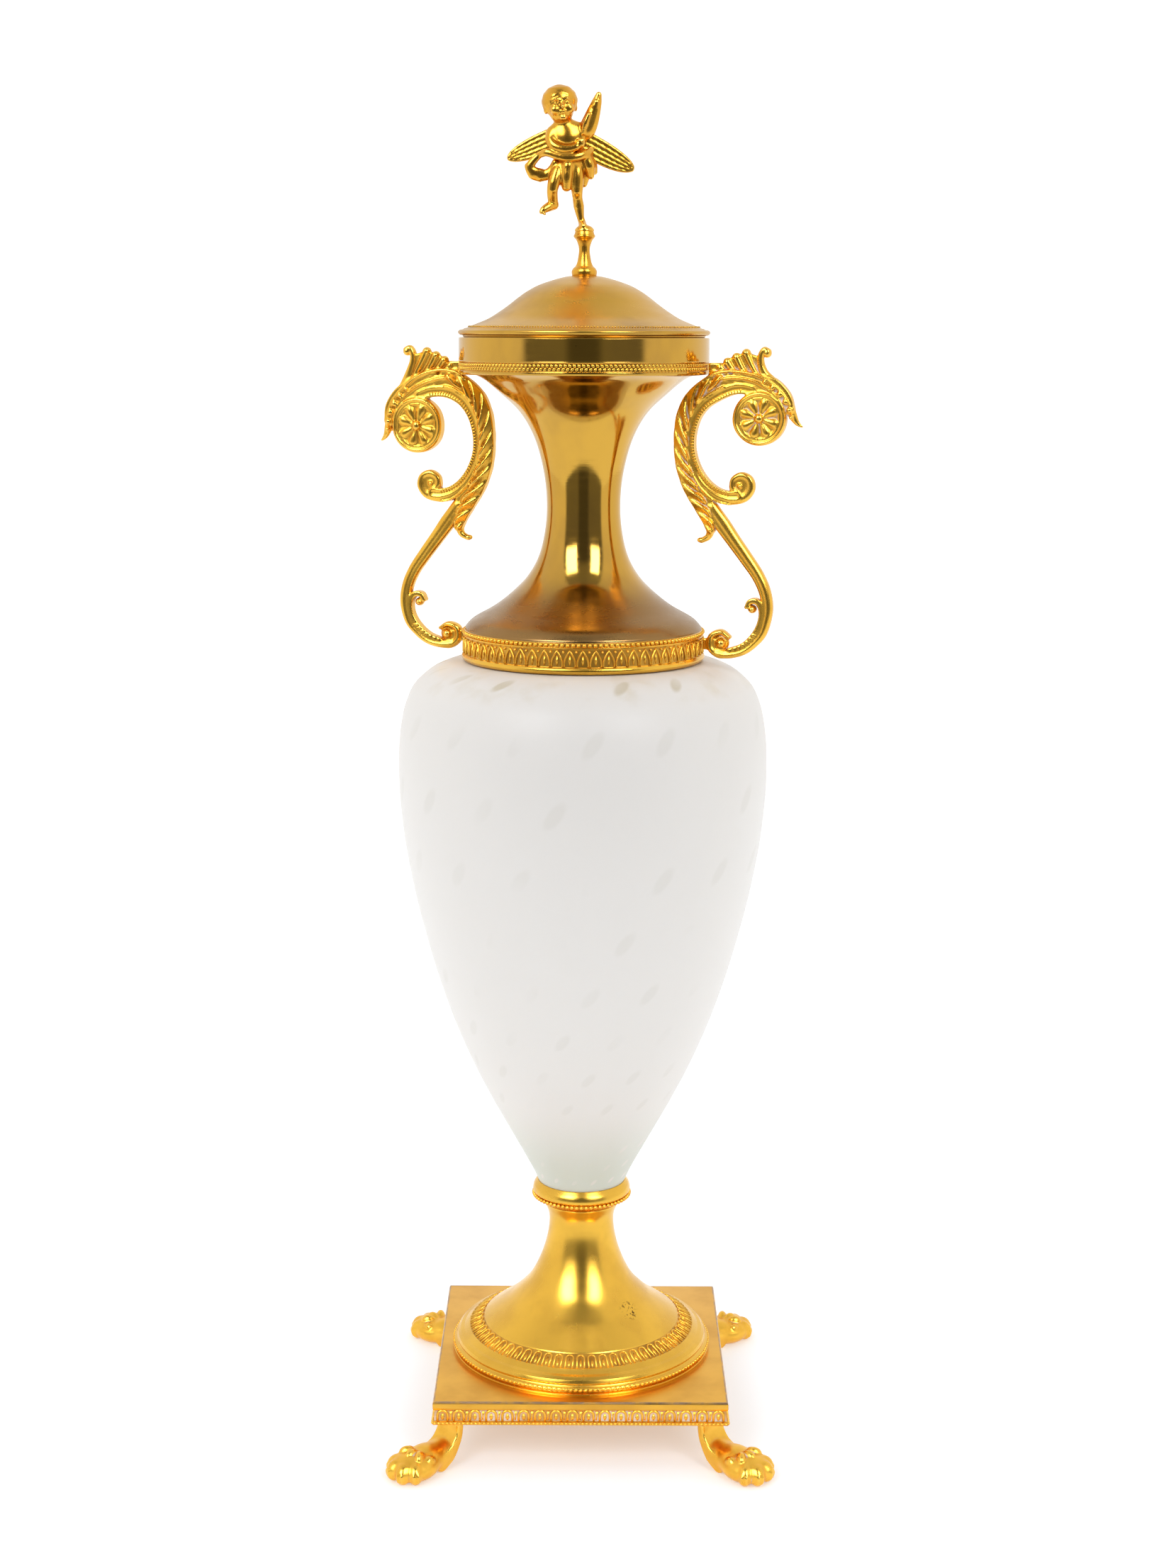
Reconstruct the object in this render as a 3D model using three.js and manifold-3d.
// Mantel urn: a white glass body in gilt brass mounts, on a square plinth with four paw feet.
// Millimetres, +Z up. The origin is on the floor, under the urn's axis, and the front faces -Y.
import * as THREE from "three";
import { mergeVertices } from "three/addons/utils/BufferGeometryUtils.js";
import Module from "manifold-3d";

const wasm = await Module();
wasm.setup();

// Driving sizes
const gap = 0.3; // between pieces that rest on or against each other
const roundSides = 22; // facets round each turned piece
const urnTop = 560; // highest point of the figure's hair

const plinthHalf = 60.75; // half the side of the plinth's top face
const plinthTop = 28.9;
const plinthThick = 10.2;
const plinthRecessHalf = 47; // the shallow hollow under the plinth
const plinthRecessDepth = 6;

const footWall = 2.2;
const footTop = 94.2;
const cupTop = 104.4;
const cupRadius = 20.9;

const glassWall = 3.6;
const glassTop = 330.3;
const glassMouth = 43; // radius of the open top
const glassBottom = 98.6; // the rounded end that stands in the cup
const glassWidest = 76.7;

const ringBottom = 330.7;
const ringTop = 343.2;
const ringRadius = 50.2;
const ringBore = 44.5;

const neckWall = 1.8;
const neckTop = 447.1;
const neckWaist = 15.2;

const collarBottom = 447.4;
const collarTop = 461.3;
const collarRadius = 51;
const collarWall = 1.8;
const collarBore = 40.5; // the opening in the collar's floor

const lidWall = 1.6;
const lidTop = 485.9;
const lidRim = 50.8;

const spoolTop = 503.1;

const handleTurn = THREE.MathUtils.degToRad(-14.5); // the pair of handles is turned this far about the axis
const handleDepth = 6.4; // thickness of the arm, front to back

// Materials
const giltPolished = new THREE.MeshStandardMaterial({ color: 0xc79a3c, metalness: 1, roughness: 0.16 });
const giltSatin = new THREE.MeshStandardMaterial({ color: 0xd6a032, metalness: 1, roughness: 0.34 });
const giltCast = new THREE.MeshStandardMaterial({ color: 0xe0a024, metalness: 1, roughness: 0.45 });
const opaline = new THREE.MeshStandardMaterial({ color: 0xeeeeea, metalness: 0, roughness: 0.4 });

// A closed solid from a geometry, with its shared corners merged.
function solid(geometry) {
  const bare = new THREE.BufferGeometry();
  bare.setAttribute("position", geometry.getAttribute("position"));
  if (geometry.index) bare.setIndex(geometry.index);
  const merged = mergeVertices(bare, 1e-3);
  return new wasm.Manifold(
    new wasm.Mesh({
      numProp: 3,
      vertProperties: merged.attributes.position.array,
      triVerts: new Uint32Array(merged.index.array),
    }),
  );
}

function geometryOf(body) {
  const made = body.getMesh();
  const geometry = new THREE.BufferGeometry();
  geometry.setAttribute("position", new THREE.BufferAttribute(new Float32Array(made.vertProperties), 3));
  geometry.setIndex(new THREE.BufferAttribute(new Uint32Array(made.triVerts), 1));
  geometry.computeVertexNormals();
  return geometry;
}

function named(name, geometry, material) {
  const mesh = new THREE.Mesh(geometry, material);
  mesh.name = name;
  return mesh;
}

function union(geometries) {
  return geometries.map(solid).reduce((all, next) => all.add(next));
}

// A piece turned about the Z axis from [radius, height] points that run up the outside.
function turned(points, sides = roundSides) {
  const profile = points.map(([radius, height]) => new THREE.Vector2(radius, height));
  return new THREE.LatheGeometry(profile, sides).rotateX(Math.PI / 2);
}

// A smooth run of [radius, height] points through a few given ones.
function smooth(points, steps) {
  const curve = new THREE.SplineCurve(points.map(([radius, height]) => new THREE.Vector2(radius, height)));
  return curve.getPoints(steps).map((point) => [point.x, point.y]);
}

// The same run moved inwards by a wall's thickness, in the opposite direction.
function innerRun(points, wall) {
  return points
    .map(([radius, height], i) => {
      const before = points[Math.max(i - 1, 0)];
      const after = points[Math.min(i + 1, points.length - 1)];
      const length = Math.hypot(after[0] - before[0], after[1] - before[1]);
      return [
        Math.max(radius - ((after[1] - before[1]) / length) * wall, 0.5),
        height + ((after[0] - before[0]) / length) * wall,
      ];
    })
    .reverse();
}

// A bar along a smooth path of [x, y, z] points, with [across, deep] half-sizes spread evenly along it.
// Across is square to the path and to Y, and deep is square to both, so it is Y itself on a path in the XZ plane.
function bar(path, sizes, { sides = 6, steps = 2 * (path.length - 1) } = {}) {
  const curve = new THREE.CatmullRomCurve3(path.map((point) => new THREE.Vector3(...point)));
  const front = new THREE.Vector3(0, 1, 0);
  const corners = [];
  for (let i = 0; i <= steps; i++) {
    const share = i / steps;
    const centre = curve.getPoint(share);
    const along = curve.getTangent(share);
    const across = new THREE.Vector3().crossVectors(front, along).normalize();
    const deep = new THREE.Vector3().crossVectors(along, across).normalize();
    const place = share * (sizes.length - 1);
    const low = Math.min(Math.floor(place), sizes.length - 2);
    const [wide, thick] = sizes[low].map((size, k) => size + (sizes[low + 1][k] - size) * (place - low));
    for (let j = 0; j < sides; j++) {
      const angle = ((j + 0.5) / sides) * 2 * Math.PI;
      corners.push(
        centre
          .clone()
          .addScaledVector(across, wide * Math.cos(angle))
          .addScaledVector(deep, thick * Math.sin(angle)),
      );
    }
  }
  corners.push(curve.getPoint(0), curve.getPoint(1));
  const faces = [];
  for (let j = 0; j < sides; j++) {
    const next = (j + 1) % sides;
    for (let i = 0; i < steps; i++) {
      const ring = i * sides;
      faces.push(ring + j, ring + next, ring + sides + j);
      faces.push(ring + next, ring + sides + next, ring + sides + j);
    }
    faces.push(corners.length - 2, next, j);
    faces.push(corners.length - 1, steps * sides + j, steps * sides + next);
  }
  const geometry = new THREE.BufferGeometry().setFromPoints(corners);
  geometry.setIndex(faces);
  return geometry;
}

// A bar in the XZ plane, from [x, z, half across, half deep] stations.
function flatBar(stations, options) {
  return bar(
    stations.map(([x, z]) => [x, 0, z]),
    stations.map(([, , across, deep]) => [across, deep]),
    options,
  );
}

// An egg shape with its poles up and down.
function egg(centre, radii, around, rows) {
  const ball = new THREE.SphereGeometry(1, around, rows).rotateX(Math.PI / 2);
  return ball.scale(...radii).translate(...centre);
}

// A round disc in the XZ plane, facing front and back.
function disc(x, z, radius, depth, sides) {
  return new THREE.CylinderGeometry(radius, radius, depth, sides).translate(x, 0, z);
}

function plinth() {
  const bottom = plinthTop - plinthThick;
  const corner = Math.SQRT2;
  const outline = [
    [0, bottom + plinthRecessDepth],
    [plinthRecessHalf, bottom + plinthRecessDepth],
    [plinthRecessHalf, bottom],
    [plinthHalf + 0.4, bottom],
    [plinthHalf + 1.2, bottom + 0.9],
    [plinthHalf + 1.2, bottom + 2],
    [plinthHalf + 0.1, bottom + 2.6],
    [plinthHalf - 0.2, plinthTop - 3],
    [plinthHalf + 0.4, plinthTop - 2.2],
    [plinthHalf + 0.4, plinthTop - 0.8],
    [plinthHalf, plinthTop],
    [0, plinthTop],
  ];
  return turned(
    outline.map(([half, height]) => [half * corner, height]),
    4,
  ).rotateZ(Math.PI / 4);
}

// A lion's paw at the end of a curved strap, built pointing along +X and then turned to its corner.
function paw() {
  const strapTop = plinthTop - plinthThick - gap;
  const strap = bar(
    [
      [76.6, 0, strapTop + 2],
      [77.6, 0, 13],
      [82, 0, 7.5],
      [91, 0, 5.5],
    ],
    [
      [3, 9.4],
      [2.8, 9],
      [3.2, 9.4],
      [5.5, 10.5],
    ],
    { sides: 4, steps: 4 },
  );
  const pad = egg([94.5, 0, 4.3], [9, 9.4, 5.4], 6, 4);
  const pieces = [strap, pad];
  const toes = 4; // spread like a fan
  for (let i = 0; i < toes; i++) {
    const angle = (i - (toes - 1) / 2) * 0.46;
    const side = Math.sin(angle);
    const ahead = Math.cos(angle);
    pieces.push(
      bar(
        [
          [93, 7 * side, 8.6],
          [95 + 5 * ahead, 11 * side, 9.6],
          [95 + 10.5 * ahead, 12.8 * side, 2.6],
        ],
        [
          [3.4, 3.4],
          [4.2, 4],
          [2.6, 3],
        ],
        { sides: 4, steps: 2 },
      ),
    );
  }
  const room = new THREE.BoxGeometry(60, 60, strapTop).translate(90, 0, strapTop / 2);
  return union(pieces).intersect(solid(room));
}

// Spun trumpet foot: the flare and its leaf border, two rings and a cove down to the plinth.
function foot() {
  const base = plinthTop + gap;
  const flare = smooth(
    [
      [48.5, 38.4],
      [33.5, 48.2],
      [23.2, 58],
      [17, 70.4],
      [13.9, 84],
      [16.4, footTop],
    ],
    7,
  );
  const outside = [
    [55.6, base],
    [54.2, base + 1.3],
    [55.4, base + 1.9],
    [55.4, base + 3.4],
    [53.4, base + 4.5],
    [52.2, base + 6.8],
    [50.4, base + 7.6],
    ...flare,
  ];
  const lining = innerRun(flare, footWall).slice(1);
  return turned([
    ...outside,
    [0, footTop],
    [0, footTop - footWall],
    ...lining,
    [49, base + 5],
    [52, base],
    [55.6, base],
  ]);
}

// The collar that holds the glass, with a beaded lower edge.
function glassCup() {
  const base = footTop + gap;
  return turned([
    [0, base],
    [16.6, base],
    [cupRadius - 0.5, base + 2.6],
    [cupRadius, base + 4.2],
    [cupRadius, base + 6.2],
    [cupRadius - 1, base + 8.6],
    [18.7, cupTop],
    [16.4, glassBottom + 0.6],
    [13, glassBottom - gap],
    [0, glassBottom - gap],
  ]);
}

// Blown body: a long egg, small end down, widest high up, then a flat shoulder with an open mouth.
function glassBody() {
  const side = smooth(
    [
      [18.1, 104.6],
      [40.2, 145.4],
      [58.8, 189.8],
      [71.7, 239.2],
      [glassWidest, 287],
      [72.2, 315.4],
      [55.5, 329.2],
    ],
    10,
  );
  return turned([
    [0, glassBottom],
    [12.5, glassBottom],
    [15.6, 100],
    ...side,
    [glassMouth, glassTop],
    [glassMouth, glassTop - glassWall],
    ...innerRun(side, glassWall),
    [10, 104],
    [0, 103],
  ]);
}

// The gallery between glass and neck: a plain lip, a leaf band and a bead line.
function shoulderRing() {
  return turned([
    [ringBore, ringBottom],
    [ringRadius - 1.2, ringBottom],
    [ringRadius, ringBottom + 0.9],
    [ringRadius, ringBottom + 2.2],
    [ringRadius - 0.9, ringBottom + 2.9],
    [ringRadius - 0.9, ringTop - 2.2],
    [ringRadius, ringTop - 1.4],
    [ringRadius, ringTop],
    [ringBore, ringTop],
    [ringBore, ringBottom],
  ]);
}

// Waisted neck: a lower bell, a narrow throat and an upper bowl, spun from one sheet.
function neck() {
  const outside = smooth(
    [
      [48.9, ringTop + gap],
      [45.2, 347.2],
      [36.7, 352.7],
      [22.7, 365.5],
      [15.5, 386.3],
      [neckWaist, 398.1],
      [20.3, 421.8],
      [34.3, 439.6],
      [43, neckTop],
    ],
    10,
  );
  const lining = innerRun(outside, neckWall);
  lining[0] = [outside.at(-1)[0] - neckWall * 1.4, neckTop];
  lining[lining.length - 1] = [outside[0][0] - neckWall * 1.8, ringTop + gap];
  return turned([...outside, ...lining, outside[0]]);
}

// Drum under the lid, with a floor ring that stands on the neck's brim.
function collar() {
  return turned([
    [collarBore, collarBottom],
    [collarRadius - 0.6, collarBottom],
    [collarRadius + 0.3, collarBottom + 1.2],
    [collarRadius + 0.3, collarBottom + 5],
    [collarRadius, collarBottom + 5.6],
    [collarRadius - 0.2, collarTop],
    [collarRadius - collarWall, collarTop],
    [collarRadius - collarWall, collarBottom + collarWall],
    [collarBore, collarBottom + collarWall],
    [collarBore, collarBottom],
  ]);
}

// Domed lid, hollow underneath, with a short skirt that drops inside the collar.
function lid() {
  const seat = collarTop + gap;
  const skirt = collarRadius - collarWall - 0.6;
  const dome = smooth(
    [
      [48.4, 464.9],
      [38.9, 468.8],
      [22.6, 479.8],
      [14, 483.8],
      [0, lidTop],
    ],
    6,
  );
  return turned([
    [skirt, seat - 3.5],
    [skirt, seat],
    [collarRadius - 0.9, seat],
    [collarRadius - 0.9, seat + 0.9],
    [lidRim, seat + 1.2],
    [lidRim, seat + 2.5],
    [lidRim - 1, seat + 3.3],
    ...dome,
    [0, lidTop - lidWall],
    ...innerRun(dome, lidWall).slice(1, -1),
    [skirt - lidWall, seat + 1.4],
    [skirt - lidWall, seat - 3.5],
    [skirt, seat - 3.5],
  ]);
}

function finialSpool() {
  const base = lidTop + gap;
  return turned(
    [
      [0, base],
      [4.6, base],
      [5.1, base + 1.4],
      [4.2, base + 2.8],
      [2.6, base + 5.6],
      [2.3, base + 9],
      [2.8, base + 12],
      [4.3, base + 15],
      [3.9, base + 16.2],
      [3.4, spoolTop],
      [0, spoolTop],
    ],
    12,
  );
}

// One cast scroll handle, in the XZ plane at +X. Stations are [x, z, half across, half deep].
function handle() {
  const deep = handleDepth / 2;
  const endVolute = { x: 58.1, z: 339.3, radius: 4.5 };
  const stem = flatBar(
    [
      [82.4, 432.4, 2.6, 2.4],
      [79.4, 437.8, 3.2, deep - 0.2],
      [72.5, 442.2, 3.6, deep],
      [62.5, 443.2, 4.4, deep],
      [53.5, 440.8, 5, deep],
      [46.4, 434, 5.1, deep],
      [42.6, 424.5, 4.8, deep],
      [43.2, 413.5, 4.9, deep],
      [46.8, 402.5, 6, deep],
      [52.6, 391.5, 5.4, deep],
      [60.3, 381.9, 3.6, deep - 0.3],
      [69.3, 370.8, 3, 2.7],
      [75.9, 359.7, 2.8, 2.5],
      [77.3, 350.6, 2.6, 2.4],
      [74.2, 342.4, 2.5, 2.3],
      [68.2, 336.6, 2.2, 2.2],
      [60.5, 334.9, 2, 2.2],
    ],
    { sides: 6, steps: 16 },
  );
  const branch = flatBar(
    [
      [48, 406, 3.2, 2.6],
      [54, 399.6, 3, 2.5],
      [60.4, 398, 2.6, 2.4],
      [66.6, 398.9, 2.1, 2.3],
      [69, 402.6, 1.7, 2.2],
      [66.4, 405.8, 1.6, 2.1],
    ],
    { sides: 5, steps: 6 },
  );
  const beak = flatBar(
    [
      [83.6, 434, 2.2, 2.2],
      [85.6, 428.4, 1.8, 1.5],
      [88.4, 424.2, 0.7, 0.7],
    ],
    { sides: 5, steps: 2 },
  );
  const leafTip = flatBar(
    [
      [51, 390, 3, 2.2],
      [52, 384.4, 2, 1.8],
      [49.6, 380.9, 1.2, 1.2],
    ],
    { sides: 5, steps: 2 },
  );
  const lobes = [
    [54.6, 444.5, 53.9, 449.4],
    [57.8, 445, 57.2, 452.4],
    [61.8, 445.4, 61.4, 454.8],
    [66.4, 445, 66.6, 457.2],
    [71.4, 443.2, 73.6, 456.4],
  ].map(([footX, footZ, tipX, tipZ]) =>
    flatBar(
      [
        [footX, footZ, 1.9, 1.5],
        [tipX, tipZ, 2.2, 1.6],
      ],
      { sides: 4, steps: 1 },
    ),
  );
  const bracket = new THREE.BoxGeometry(5, 3.6, 5).translate(collarRadius + gap + 3, 0, collarBottom + 1.6);
  const shoe = new THREE.BoxGeometry(6, 3.6, 5).translate(ringRadius + gap + 3, 0, endVolute.z - 0.6);
  return union([
    stem,
    branch,
    beak,
    leafTip,
    ...lobes,
    bracket,
    shoe,
    disc(71.9, 428.1, 10.9, 5.6, 14),
    disc(71.9, 428.1, 2, 8, 5),
    disc(65.3, 402.3, 3.2, 5.4, 6),
    disc(71.3, 353.8, 2.7, 4.4, 6),
    disc(endVolute.x, endVolute.z, endVolute.radius, 5.8, 8),
    flatBar(
      [
        [75.6, 347.6, 1.6, 1.7],
        [74.4, 352.6, 1.4, 1.6],
        [71.6, 355.4, 1.2, 1.5],
      ],
      { sides: 5, steps: 2 },
    ),
  ]);
}

// Winged boy on tiptoe, cast in one with the small mound he stands on. Heights start at the mound's base.
function cupid() {
  const limb = (stations, options) =>
    bar(
      stations.map(([x, y, z]) => [x, y, z]),
      stations.map(([, , , size]) => [size, size]),
      { sides: 5, steps: stations.length - 1, ...options },
    );
  const head = egg([-9.2, -1.4, 49.2], [6.8, 6.6, 7.5], 8, 5);
  const torso = limb(
    [
      [-4.8, 0.6, 21, 5],
      [-5.6, 0, 27, 5.4],
      [-6, -0.4, 34, 6.4],
      [-7.4, -0.8, 39.6, 4.6],
      [-8.8, -1.2, 43.6, 2.6],
    ],
    { sides: 6, steps: 4 },
  );
  const standingLeg = limb([
    [-2.2, 0, 24, 4],
    [-1.6, -0.8, 17.4, 2.9],
    [-1.5, -0.4, 12, 2.2],
    [-1.3, 0.6, 7.6, 2.2],
    [-0.6, 0.2, 3, 1.7],
    [0.2, -0.6, 0.4, 1.8],
  ]);
  const bentLeg = limb([
    [-8.6, 0, 23, 3.8],
    [-11.2, -3.6, 17.6, 2.8],
    [-12, -2.4, 13.2, 2.2],
    [-12.4, -0.6, 9.8, 1.9],
  ]);
  const bentFoot = limb(
    [
      [-12, -0.2, 9.6, 1.9],
      [-14, -2, 8.2, 1.7],
      [-16.2, -4, 6.8, 1.1],
    ],
    { steps: 2 },
  );
  const raisedArm = limb(
    [
      [-0.8, -0.6, 39.4, 2.8],
      [3.6, -1.6, 38, 3],
      [4.4, -3, 45, 2.6],
      [5.8, -3.6, 52.6, 1.4],
    ],
    { steps: 4 },
  );
  const crossingArm = limb([
    [-11.6, -0.6, 38, 2.6],
    [-13.4, -3.4, 34.8, 2.2],
    [-7.5, -6.2, 33, 2],
    [-0.6, -6, 34, 1.7],
  ]);
  const sash = limb([
    [-17.4, -2, 29, 1.7],
    [-10, -5, 28, 2.1],
    [-2, -4.6, 28.6, 2.1],
    [2, -1, 30.6, 1.8],
  ]);
  const knot = limb(
    [
      [-17.2, -2, 29, 1.6],
      [-21, -1.4, 25.4, 1.7],
      [-17.6, -1.2, 20.8, 1.7],
      [-12.2, -1.6, 22, 1.5],
      [-9, -2, 26, 1.5],
    ],
    { steps: 5 },
  );
  const skirt = bar(
    [
      [-4.5, 0.4, 27],
      [-3.6, 0.8, 22],
      [-2.6, 1.6, 18.6],
    ],
    [
      [6.8, 4.6],
      [7.8, 4.8],
      [5.2, 3.6],
    ],
    { sides: 6, steps: 2 },
  );
  const wing = (root, tip) =>
    bar(
      [root, [root[0] * 0.45 + tip[0] * 0.55, (root[1] + tip[1]) / 2, root[2] * 0.4 + tip[2] * 0.6], tip],
      [
        [6.4, 1.4],
        [5.4, 1.2],
        [1, 0.8],
      ],
      { sides: 4, steps: 3 },
    );
  const mound = egg([0, 0, 0], [4.1, 4.1, 2.8], 7, 4);
  const body = union([
    head,
    torso,
    standingLeg,
    bentLeg,
    bentFoot,
    raisedArm,
    crossingArm,
    sash,
    knot,
    skirt,
    mound,
    wing([-11, 2.6, 34], [-29.4, 6.4, 27.6]),
    wing([-2.5, 2, 34], [19.8, 6.4, 22.8]),
  ]);
  const room = new THREE.BoxGeometry(80, 60, urnTop - spoolTop).translate(0, 0, (urnTop - spoolTop) / 2);
  return body.intersect(solid(room));
}

const urn = new THREE.Group();
urn.add(named("plinth", plinth(), giltSatin));

const pawGeometry = geometryOf(paw());
const corners = { front_right: -45, back_right: 45, back_left: 135, front_left: 225 };
for (const [corner, degrees] of Object.entries(corners)) {
  const one = named("paw_" + corner, pawGeometry, giltCast);
  one.rotation.z = THREE.MathUtils.degToRad(degrees);
  urn.add(one);
}

urn.add(named("foot", foot(), giltSatin));
urn.add(named("glass_cup", glassCup(), giltSatin));
urn.add(named("glass_body", glassBody(), opaline));
urn.add(named("shoulder_ring", shoulderRing(), giltSatin));
urn.add(named("neck", neck(), giltPolished));
urn.add(named("collar", collar(), giltPolished));
urn.add(named("lid", lid(), giltPolished));
urn.add(named("finial_spool", finialSpool(), giltSatin));

const figure = named("cupid", geometryOf(cupid()), giltCast);
figure.position.z = spoolTop + gap;
urn.add(figure);

const handles = new THREE.Group();
const handleGeometry = geometryOf(handle());
for (const [side, turn] of Object.entries({ right: 0, left: Math.PI })) {
  const one = named("handle_" + side, handleGeometry, giltCast);
  one.rotation.z = turn;
  handles.add(one);
}
handles.rotation.z = handleTurn;
urn.add(handles);

export default urn;
